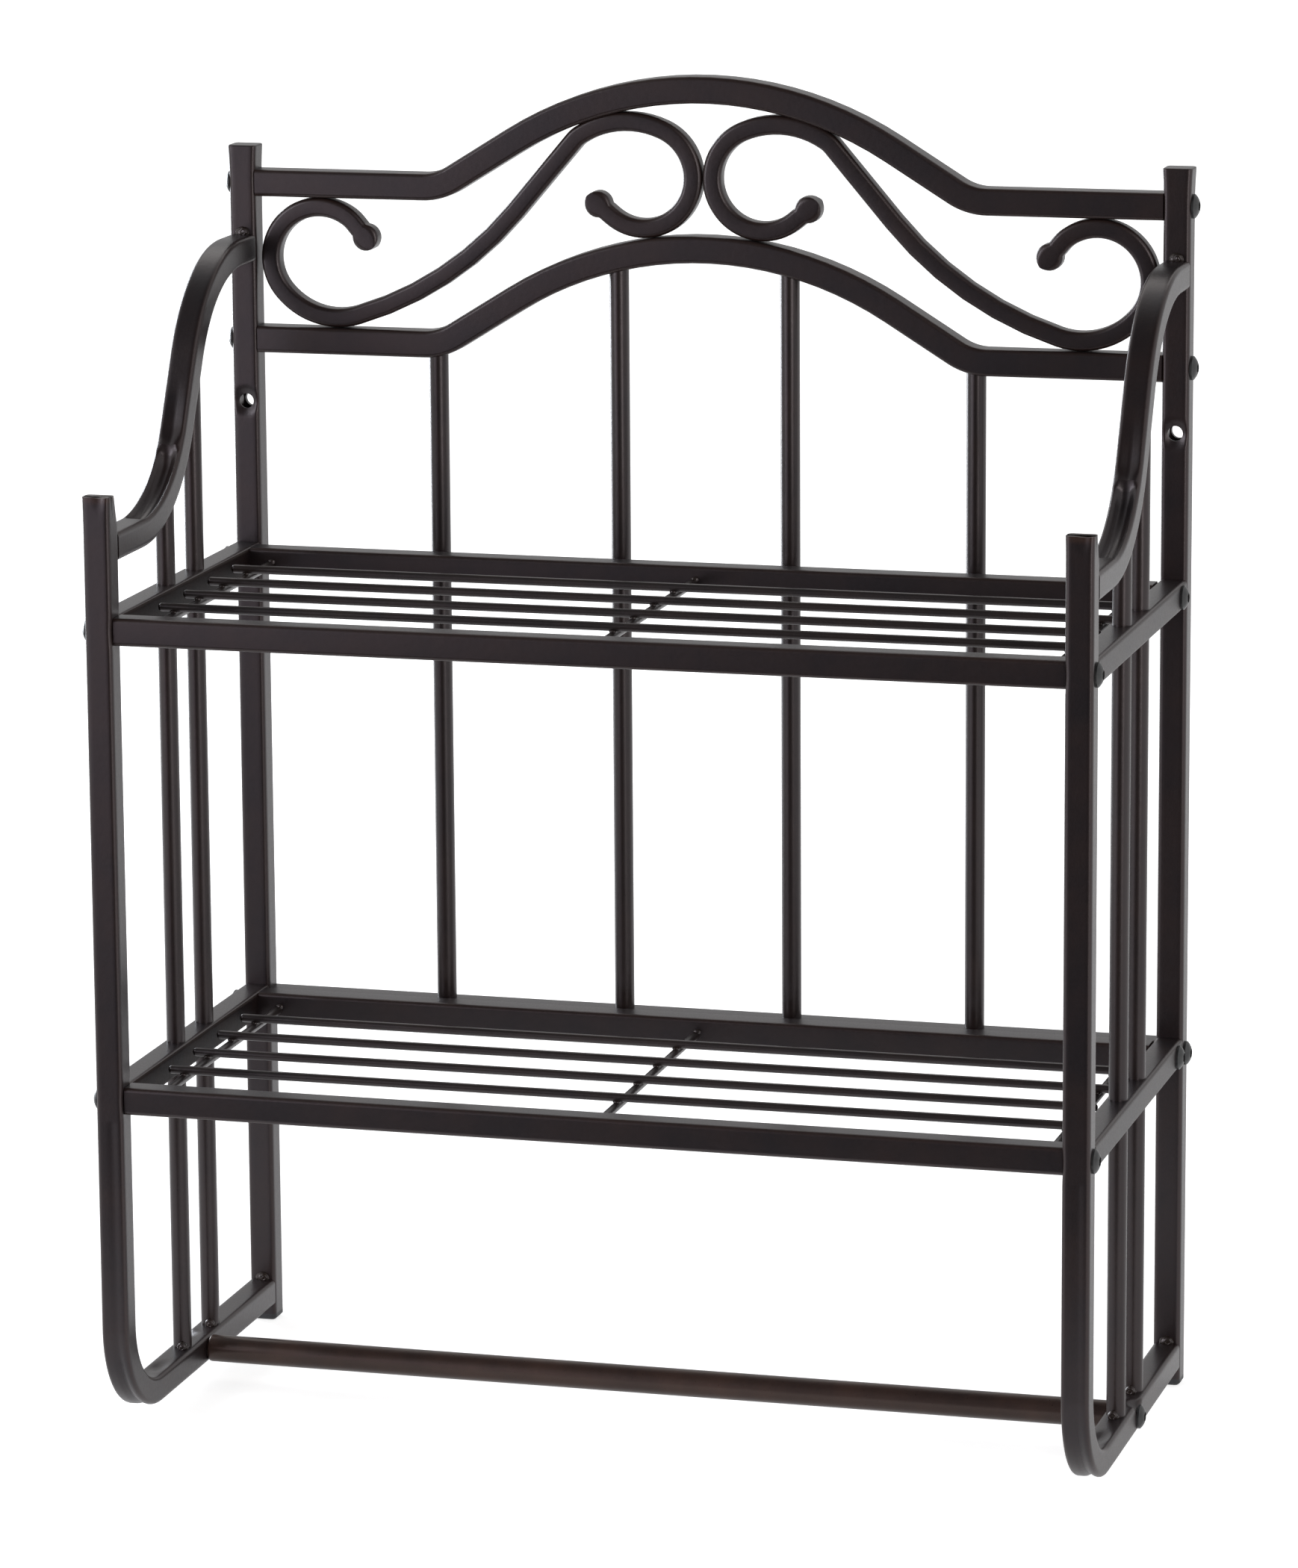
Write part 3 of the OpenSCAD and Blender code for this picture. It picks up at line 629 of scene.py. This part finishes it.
def s_arm(name, middle):
    start = Vector((middle, arm_low.y, arm_low.z + half_tube))
    run = arm_high.y - arm_low.y - arm_front_run - arm_rear_run
    rise = arm_high.z - arm_low.z - tube_side
    slope, radii = s_bend(run, rise, arm_fullness)
    bend_radius = radii / 2
    straight = (run - radii * sin(slope)) / cos(slope)
    arm = lay_section(name, start, backward, along_x, tube_side, tube_corner, cuts=flat_cuts)
    run_bar(start, backward, along_x,
            [(arm_front_run,), (bend_radius, slope), (straight, "in", arm_straight_pieces),
             (bend_radius, -slope), (arm_rear_run,)], bend_step=arm_bend_step)
    bpy.ops.object.mode_set(mode="OBJECT")
    bend_centre = start + Vector((0, arm_front_run, bend_radius))
    climb = Vector((0, cos(slope), sin(slope)))
    inner_radius = bend_radius - half_tube
    inner_half = bend_radius - half_tube / 2
    for point in arm.data.vertices:
        away = point.co - bend_centre
        away.x = 0
        turn = atan2(away.y, -away.z)
        past = away.dot(climb)
        if turn < slope:
            outward = away.normalized()
            inner = turn > 0 and away.length < inner_half
            above_lip = (turn - arm_fold_lip) * inner_radius
        else:
            outward = Vector((0, sin(slope), -cos(slope)))
            inner = past < straight and away.dot(outward) < inner_half
            above_lip = (slope - arm_fold_lip) * inner_radius + past
        if inner:
            sideways = min(1, abs(point.co.x - middle) / arm_fold_half_width)
            point.co += outward * fold_depth(turn, above_lip, sideways)
    finish_piece(arm, [name], tube_paint)


s_arm("left_arm", -post_middle)
s_arm("right_arm", post_middle)

# Straight rails
# Square tube of the same stock: the side rails under the shelves' ends, the front and
# rear rails of both shelves, and the back panel's bottom rail.
side_rails = ["left_upper_side_rail", "left_lower_side_rail",
              "right_upper_side_rail", "right_lower_side_rail"]
cross_rails = ["upper_shelf_front_rail", "upper_shelf_rear_rail",
               "lower_shelf_front_rail", "lower_shelf_rear_rail", "back_bottom_rail"]
straight_rail_pieces = 8
# Painted shade on the side rails' right-facing faces: full on the left rails, less on the right
left_rail_shade = 1
right_rail_shade = 0.4
facing_share = 0.7


def straight_rail(name, heading):
    low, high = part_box(name)
    length = abs((high - low).dot(heading))
    start = (low + high) / 2 - heading * length / 2
    rail = lay_section(name, start, heading, upward, tube_side, tube_corner)
    run_bar(start, heading, upward, [(length, "in", straight_rail_pieces)])
    finish_piece(rail, [name], tube_paint)
    return rail


def paint_shade_on_right_faces(rail, amount):
    """Paints shade on the faces to the right: less gloss and more roughness make them darker than the
    posts
    """
    painted_shade = rail.data.attributes.new("painted_shade", "FLOAT", "FACE")
    for face in rail.data.polygons:
        painted_shade.data[face.index].value = amount if face.normal.dot(along_x) > facing_share else 0


# The side rails' right-facing faces get painted shade, as gloss taken off
for name in side_rails:
    rail_shade = left_rail_shade if name.startswith("left") else right_rail_shade
    paint_shade_on_right_faces(straight_rail(name, backward), rail_shade)
for name in cross_rails:
    straight_rail(name, along_x)

# Crest rails
# Two square tubes bent alike: level at the ends, a tight bend up at the foot, and one
# wide arch over the middle. Bolted through the rear posts.
upper_low, upper_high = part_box("upper_crest_rail")
lower_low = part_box("lower_crest_rail")[0]
crest_half = upper_high.x
crest_rise = 0.0483
crest_end_run = 0.082
crest_foot_radius = 0.029
crest_fullness = 0.615
crest_bend_step = radians(3)
arch_run = crest_half - crest_end_run
arch_slope, arch_radii = s_bend(arch_run, crest_rise, crest_fullness)
arch_radius = arch_radii - crest_foot_radius
arch_straight = (arch_run - arch_radii * sin(arch_slope)) / cos(arch_slope)


def crest_rail(name, low):
    start = Vector((low.x, rear_centre, low.z + half_tube))
    rail = lay_section(name, start, along_x, forward, tube_side, tube_corner)
    run_bar(start, along_x, forward,
            [(crest_end_run,), (crest_foot_radius, arch_slope), (arch_straight,),
             (arch_radius, -2 * arch_slope), (arch_straight,), (crest_foot_radius, arch_slope),
             (crest_end_run,)], bend_step=crest_bend_step)
    finish_piece(rail, [name], tube_paint)


crest_rail("upper_crest_rail", upper_low)
crest_rail("lower_crest_rail", lower_low)

# Scrolls
# A mirrored pair bent from solid square bar: a curl inside the rear post, a long sweep
# up to a shoulder, and a full loop by the middle. Both ends are hammered to flat discs.
# Each scroll is welded to the crest rails above and below, and to the other one.
scroll_bar = 0.009
half_bar = scroll_bar / 2
scroll_corner = 0.0021
weld_seam = 0.0001
touch = half_tube + half_bar + weld_seam
scroll_post_gap = 0.0019
loop_lean = 0.0079
loop_ease = 0.0018
curl_radius = 0.016
inner_loop_radius = 0.024
crown_radius = 0.042
shoulder_radius = 0.013
shoulder_reach = 0.0518
sweep_slope = radians(49.5)
sweep_start = radians(17)
curl_start = radians(55)
curl_end = radians(40)
inner_loop_end = radians(-129)
disc_radius = 0.0063
disc_run = 0.0086
disc_steps = 12
disc_tip = 0.0004
end_face_depth = 0.00001


def on_circle(radius, angle):
    """A point of a circle round the origin, in the plane of the back panel"""
    return Vector((radius * cos(angle), 0, radius * sin(angle)))


def circle_top(centre, radius, x):
    """Height of a circle's upper half at a distance from the middle"""
    return centre.z + sqrt(radius * radius - x * x)


def angle_to(centre, place):
    """Angle at which a place lies round a centre, in the plane of the back panel"""
    return atan2(place.z - centre.z, place.x - centre.x)


# The curl and the outer loop, drawn from their centres
upper_level = upper_low.z + half_tube
lower_level = lower_low.z + half_tube
round_loop_radius = (upper_level - lower_level) / 2 - touch
loop_top_radius = round_loop_radius - loop_ease
loop_foot_radius = round_loop_radius + loop_lean * loop_lean / (4 * loop_ease)
loop_top = Vector((loop_top_radius + half_bar + scroll_post_gap - crest_half, rear_centre,
                   upper_level - touch - loop_top_radius))
loop_foot = Vector((loop_top.x + loop_lean, rear_centre, lower_level + touch + loop_foot_radius))
loop_join = angle_to(loop_foot, loop_top) % (2 * pi)
curl = loop_top + on_circle(loop_top_radius - curl_radius, curl_start)

# The inner loop rests on the lower arch, and the shoulder lies under the upper arch
upper_arch = Vector((0, rear_centre, upper_level + crest_rise - arch_radius))
lower_arch = Vector((0, rear_centre, lower_level + crest_rise - arch_radius))
inner_x = -(inner_loop_radius + half_bar + weld_seam)
inner_loop = Vector((inner_x, rear_centre,
                     circle_top(lower_arch, arch_radius + touch + inner_loop_radius, inner_x)))
shoulder = Vector((-shoulder_reach, rear_centre,
                   circle_top(upper_arch, arch_radius - touch - shoulder_radius, shoulder_reach)))

# The crown joins the shoulder and the inner loop
between = inner_loop - shoulder
shoulder_side = crown_radius - shoulder_radius
inner_side = crown_radius - inner_loop_radius
crown_corner = acos((between.length ** 2 + shoulder_side ** 2 - inner_side ** 2)
                    / (2 * between.length * shoulder_side))
crown = shoulder + on_circle(shoulder_side, angle_to(shoulder, inner_loop) - crown_corner)
crown_start = angle_to(crown, shoulder)
crown_end = angle_to(crown, inner_loop)

# The sweep turns from the outer loop's foot to a straight that meets the shoulder
sweep_turn = cos(sweep_slope - sweep_start)
across_sweep = on_circle(1, sweep_slope + pi / 2)
sweep_radius = (-(shoulder_radius + (shoulder - loop_foot).dot(across_sweep)
                  + loop_foot_radius * sweep_turn) / (1 - sweep_turn))
sweep = loop_foot + on_circle(sweep_radius - loop_foot_radius, sweep_start + pi / 2)
straight_from = sweep + on_circle(sweep_radius, sweep_slope - pi / 2)
straight_to = shoulder + on_circle(shoulder_radius, sweep_slope + pi / 2)


def spread_end(bar, place, heading):
    """Hammers the selected end of a bar to a disc: steps on along it, widening its face"""
    middle = Vector(place)
    side = heading.cross(forward)
    width = half_bar
    for step in range(1, disc_steps + 1):
        angle = pi * step / disc_steps
        along = disc_run - disc_radius * cos(angle)
        neck = half_bar if along < disc_run else disc_tip
        wanted = max(disc_radius * sin(angle), neck)
        at = Vector(place) + heading * along
        bpy.ops.mesh.extrude_region_move(TRANSFORM_OT_translate={"value": at - middle})
        grow = wanted / width
        bpy.ops.object.mode_set(mode="OBJECT")
        for point in bar.data.vertices:
            if point.select:
                away = point.co - at
                point.co += side * away.dot(side) * (grow - 1)
        bpy.ops.object.mode_set(mode="EDIT")
        middle, width = at, wanted


def pick_end(bar, start, tail):
    """Selects, in edit mode, just the face that a bar was started from"""
    bpy.ops.mesh.select_all(action="DESELECT")
    bpy.ops.object.mode_set(mode="OBJECT")
    for point in bar.data.vertices:
        out = point.co - start
        point.select = abs(out.dot(tail)) < end_face_depth and out.length < scroll_bar
    bpy.ops.object.mode_set(mode="EDIT")


def bent_scroll(name, mirrored):
    start = curl + on_circle(curl_radius, curl_end)
    heading = on_circle(1, curl_end + pi / 2)
    tail = -heading
    bar = lay_section(name, start, heading, forward, scroll_bar, scroll_corner, cuts=1)
    runs = [(curl_radius, curl_start - curl_end),
            (loop_top_radius, loop_join - curl_start),
            (loop_foot_radius, sweep_start + 3 * pi / 2 - loop_join),
            (sweep_radius, sweep_slope - sweep_start),
            ((straight_to - straight_from).length,),
            (shoulder_radius, crown_start - sweep_slope - pi / 2),
            (crown_radius, crown_end - crown_start),
            (inner_loop_radius, inner_loop_end - crown_end)]
    place, heading = run_bar(start, heading, forward, runs)
    spread_end(bar, place, heading)
    pick_end(bar, start, tail)
    spread_end(bar, start, tail)
    if mirrored:
        bpy.ops.mesh.select_all(action="SELECT")
        bpy.ops.transform.resize(value=(-1, 1, 1), center_override=(0, 0, 0))
    finish_piece(bar, [name], tube_paint)


bent_scroll("left_scroll", False)
bent_scroll("right_scroll", True)

# Rods
# Round steel tube, four in the back panel and two in each side frame. They stand in
# holes in the bottom rails, pass through the side rails and are welded under the arms
# and the lower crest rail.
standing_rods = ["left_front_side_rod", "left_rear_side_rod", "right_front_side_rod",
                 "right_rear_side_rod", "back_rod_1", "back_rod_2", "back_rod_3", "back_rod_4"]
rod_points = 40
rod_rings = 12
round_bar_wear = 0.12
end_facing_share = 0.9

rod_paint = bronze_paint("rod_paint", base=(0.0085, 0.0064, 0.0066), brown=(0.030, 0.018, 0.014),
                         grain_size=0.0006, roughness=0.30)


def round_bar(name, heading, points, rings, rounding=0):
    """A round bar that fills a node's box, its ends rounded over"""
    low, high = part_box(name)
    size = high - low
    length = size.dot(heading)
    thickness = size.z if heading == along_x else size.x
    start = (low + high) / 2 - heading * length / 2
    bpy.ops.object.select_all(action="DESELECT")
    turn = heading.to_track_quat("Z", "Y").to_euler()
    bpy.ops.mesh.primitive_circle_add(vertices=points, radius=thickness / 2, fill_type="NGON",
                                      location=start, rotation=turn)
    bar = bpy.context.object
    bar.name = name
    bpy.ops.object.transform_apply(location=True, rotation=True, scale=True)
    wear_and_highlight = bar.data.attributes.new("edge", "FLOAT", "POINT")
    for point in bar.data.vertices:
        wear_and_highlight.data[point.index].value = round_bar_wear
    bpy.ops.object.mode_set(mode="EDIT")
    bpy.ops.mesh.select_all(action="SELECT")
    run_bar(start, heading, upward, [(length, "in", rings)])
    if rounding:
        bpy.ops.mesh.select_all(action="DESELECT")
        bpy.ops.object.mode_set(mode="OBJECT")
        for face in bar.data.polygons:
            face.select = abs(face.normal.dot(heading)) > end_facing_share
        bpy.ops.object.mode_set(mode="EDIT")
        bpy.ops.mesh.bevel(offset=rounding, segments=5, affect="EDGES")
    return bar


for name in standing_rods:
    rod = round_bar(name, upward, rod_points, rod_rings)
    finish_piece(rod, [name], rod_paint)

# Shelf wires
# Drawn steel wire with rounded ends. Three cross wires join the front and rear rails,
# and four long wires lie over them, welded at each crossing.
cross_wires = [1, 2, 3]
long_wires = [1, 2, 3, 4]
wire_points = 20
cross_wire_rings = 6
long_wire_rings = 12
wire_low, wire_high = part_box("upper_long_wire_1")
wire_end_rounding = 0.44 * (wire_high.z - wire_low.z)

wire_paint = bronze_paint("wire_paint", base=(0.010, 0.009, 0.0095), brown=(0.036, 0.022, 0.017),
                          grain_size=0.0005, roughness=0.32)
for level in ("upper", "lower"):
    for number in cross_wires:
        name = f"{level}_cross_wire_{number}"
        wire = round_bar(name, backward, wire_points, cross_wire_rings)
        finish_piece(wire, [name], wire_paint)
    for number in long_wires:
        name = f"{level}_long_wire_{number}"
        wire = round_bar(name, along_x, wire_points, long_wire_rings, rounding=wire_end_rounding)
        finish_piece(wire, [name], wire_paint)

# Towel bar
# Round steel tube between the bottom rails, bolted through them. Its ends are turned in
# a little where they meet the rails, and its paint is browner than the frame's.
towel_bar_points = 48
towel_bar_rings = 16
towel_bar_rounding = 0.0016

bar_paint = bronze_paint("bar_paint", base=(0.019, 0.0125, 0.0115), brown=(0.080, 0.042, 0.030),
                         grain_size=0.0008, roughness=0.30, sheen=(1, 0.84, 0.78))
towel_bar = round_bar("towel_bar", along_x, towel_bar_points, towel_bar_rings,
                      rounding=towel_bar_rounding)
finish_piece(towel_bar, ["towel_bar"], bar_paint)

# Foot caps
# Black moulded plastic caps, pushed into the rear posts' open feet. The lower edge is
# chamfered all round.
cap_chamfer = 0.001
cap_height = rear_low.z - foot_low.z
cap_foot_scale = 1 - 2 * cap_chamfer / tube_side
cap_black = (0.012, 0.013, 0.015)
cap_lighter = 2
cap_cloud_scale = 90
cap_grain_scale = 1600
cap_grain_height = 0.00004
cap_smoothest = 0.42
cap_roughest = 0.6


def moulded_plastic(name, colour):
    """Moulded plastic: near-black, slightly uneven in gloss, with a fine spark-eroded texture"""
    plastic, nodes, links, shader = start_material(name)
    grain = noise(nodes, links, cap_grain_scale)
    cloud = noise(nodes, links, cap_cloud_scale)
    links.new(blend_colours(nodes, links, cloud, colour, [cap_lighter * c for c in colour]),
              shader.inputs["Base Color"])
    links.new(spread_out(nodes, links, grain, cap_smoothest, cap_roughest),
              shader.inputs["Roughness"])
    bump = add_bump(nodes, links, grain, strength=0.4, distance=cap_grain_height)
    links.new(bump.outputs["Normal"], shader.inputs["Normal"])
    return plastic


cap_plastic = moulded_plastic("cap_plastic", cap_black)
for name, middle in (("left_foot_cap", -post_middle), ("right_foot_cap", post_middle)):
    start = Vector((middle, rear_centre, rear_low.z))
    cap = lay_section(name, start, -upward, along_x, tube_side, tube_corner)
    run_bar(start, -upward, along_x, [(cap_height - cap_chamfer,), (cap_chamfer,)])
    bpy.ops.transform.resize(value=(cap_foot_scale, cap_foot_scale, 1),
                             center_override=(middle, rear_centre, foot_low.z))
    finish_piece(cap, [name], cap_plastic)

# Welds
# Small beads of weld, painted over: at each rod's foot, where the rails and arms meet the
# rear posts, and where the wires meet the rails and each other. Places are measured from
# the joint, and sizes are half widths.
weld_wear = 0.4
weld_smoothing = radians(80)
crater_width = 1.05
crater_depth = 0.8
crater_ring_place = 0.55
crater_ring_radius = 0.62
crater_ring_thickness = 0.3
frame_weld_lumps = 0.0012
frame_weld_roughness = 0.0007
shelf_weld_lumps = 0.0010
shelf_weld_roughness = 0.0005
rod_weld_place = {"left": 0.35, "right": -0.1}
rod_crater = Vector((0, -0.0005, 0.0012))
rod_crater_radius = 0.0023
rod_bead = Vector((0.0017, 0.0006, 0.0004))
rod_bead_size = (0.0012, 0.0013, 0.0012)
post_crater = Vector((0.0010, -0.0006, 0.0014))
post_crater_radius = 0.0021
post_bead = Vector((0, 0.0002, 0.0008))
post_bead_size = (0.0036, 0.0022, 0.0030)
rail_bead_inset = 0.0004
rail_bead_drop = 0.0002
rear_rail_bead_shift = 0.5
rear_rail_bead_size = (0.0020, 0.0012, 0.0013)
front_rail_bead_shift = -0.4
front_rail_bead_size = (0.0018, 0.0012, 0.0012)
crossing_bead_shift = 0.5
crossing_bead_size = (0.0017, 0.0014, 0.0009)

weld_paint = bronze_paint("weld_paint", base=(0.010, 0.009, 0.009), brown=(0.045, 0.032, 0.026),
                          grain_size=0.0009, roughness=0.24)


def weld_bead(beads, place, size):
    """Adds one bead: a squashed ball of rough metal"""
    bpy.ops.mesh.primitive_ico_sphere_add(subdivisions=3, radius=1, location=(0, 0, 0))
    bead = bpy.context.object
    bead.scale = size
    bead.location = place
    bpy.ops.object.transform_apply(location=True, rotation=True, scale=True)
    beads.append(bead)


def weld_crater(beads, place, radius):
    """Adds a bead with a raised ring at its front, as a short weld leaves where it ends"""
    weld_bead(beads, place, (crater_width * radius, crater_depth * radius, radius))
    bpy.ops.mesh.primitive_torus_add(location=place + forward * radius * crater_ring_place,
                                     rotation=(pi / 2, 0, 0), major_segments=20, minor_segments=8,
                                     major_radius=crater_ring_radius * radius,
                                     minor_radius=crater_ring_thickness * radius)
    bpy.ops.object.transform_apply(location=True, rotation=True, scale=True)
    beads.append(bpy.context.object)


def join_welds(name, beads, lump_size, lump_height):
    """Joins beads to one piece, roughens them and hangs them on the frame"""
    bpy.ops.object.select_all(action="DESELECT")
    for bead in beads:
        bead.select_set(True)
    bpy.context.view_layer.objects.active = beads[0]
    bpy.ops.object.join()
    weld = bpy.context.object
    weld.name = name
    lumps = bpy.data.textures.new(name, "CLOUDS")
    lumps.noise_scale = lump_size
    bpy.ops.object.modifier_add(type="DISPLACE")
    weld.modifiers[-1].texture = lumps
    weld.modifiers[-1].texture_coords = "LOCAL"
    weld.modifiers[-1].strength = lump_height
    bpy.ops.object.modifier_apply(modifier=weld.modifiers[-1].name)
    wear_and_highlight = weld.data.attributes.new("edge", "FLOAT", "POINT")
    for point in weld.data.vertices:
        wear_and_highlight.data[point.index].value = weld_wear
    finish_piece(weld, [], weld_paint, smooth_angle=weld_smoothing)


for name, middle in (("left", -post_middle), ("right", post_middle)):
    beads = []
    for rod in (f"{name}_front_side_rod", f"{name}_rear_side_rod"):
        low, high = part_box(rod)
        radius = (high.x - low.x) / 2
        foot = Vector(((low.x + high.x) / 2 + radius * rod_weld_place[name], low.y, rail_top))
        weld_crater(beads, foot + rod_crater, rod_crater_radius)
        weld_bead(beads, foot + rod_bead, rod_bead_size)
    for height in (rail_top, arm_high.z):
        joint = Vector((middle, rear_low.y, height))
        weld_bead(beads, joint + post_bead, post_bead_size)
        weld_crater(beads, joint + post_crater, post_crater_radius)
    join_welds(f"{name}_frame_welds", beads, frame_weld_lumps, frame_weld_roughness)

for level in ("upper", "lower"):
    beads = []
    for cross in cross_wires:
        low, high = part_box(f"{level}_cross_wire_{cross}")
        middle = (low.x + high.x) / 2
        radius = (high.x - low.x) / 2
        top = high.z - rail_bead_drop
        weld_bead(beads, (middle + radius * rear_rail_bead_shift, high.y - rail_bead_inset, top),
                  rear_rail_bead_size)
        weld_bead(beads, (middle + radius * front_rail_bead_shift, low.y + rail_bead_inset, top),
                  front_rail_bead_size)
        for wire in long_wires:
            wire_low, wire_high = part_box(f"{level}_long_wire_{wire}")
            across = (wire_low.y + wire_high.y) / 2
            weld_bead(beads, (middle, across - radius * crossing_bead_shift, wire_low.z),
                      crossing_bead_size)
    join_welds(f"{level}_shelf_welds", beads, shelf_weld_lumps, shelf_weld_roughness)

# Bolts and threaded plugs
# Black button-head bolts hold the shelves, the crest rails, the panel and the towel bar,
# screwed into plain steel plugs inside the rails' ends. They are the CAD model's own
# solids, and only need their materials.
steel_cloud_scale = 260
steel_scratch_scale = 1900
steel_scratch_height = 0.00003
steel_smoother = 0.06
steel_rougher = 0.1


def worn_steel(name, dark, light, metal, roughness):
    """Plain or blackened steel: fine scratches in the gloss and a clouded colour"""
    steel, nodes, links, shader = start_material(name)
    shader.inputs["Metallic"].default_value = metal
    cloud = noise(nodes, links, steel_cloud_scale, detail=4)
    scratch = noise(nodes, links, steel_scratch_scale)
    links.new(blend_colours(nodes, links, cloud, dark, light, start=0.35, end=0.7),
              shader.inputs["Base Color"])
    uneven = spread_out(nodes, links, scratch, roughness - steel_smoother, roughness + steel_rougher)
    links.new(uneven, shader.inputs["Roughness"])
    bump = add_bump(nodes, links, scratch, strength=0.3, distance=steel_scratch_height)
    links.new(bump.outputs["Normal"], shader.inputs["Normal"])
    return steel


bolt_black = worn_steel("bolt_black", dark=(0.018, 0.019, 0.020), light=(0.040, 0.041, 0.042),
                        metal=0.2, roughness=0.34)
plug_steel = worn_steel("plug_steel", dark=(0.30, 0.30, 0.31), light=(0.46, 0.46, 0.47),
                        metal=1, roughness=0.4)
for name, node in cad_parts.items():
    if not node.hide_render:
        node.data.materials.clear()
        node.data.materials.append(bolt_black if name.endswith("_bolts") else plug_steel)
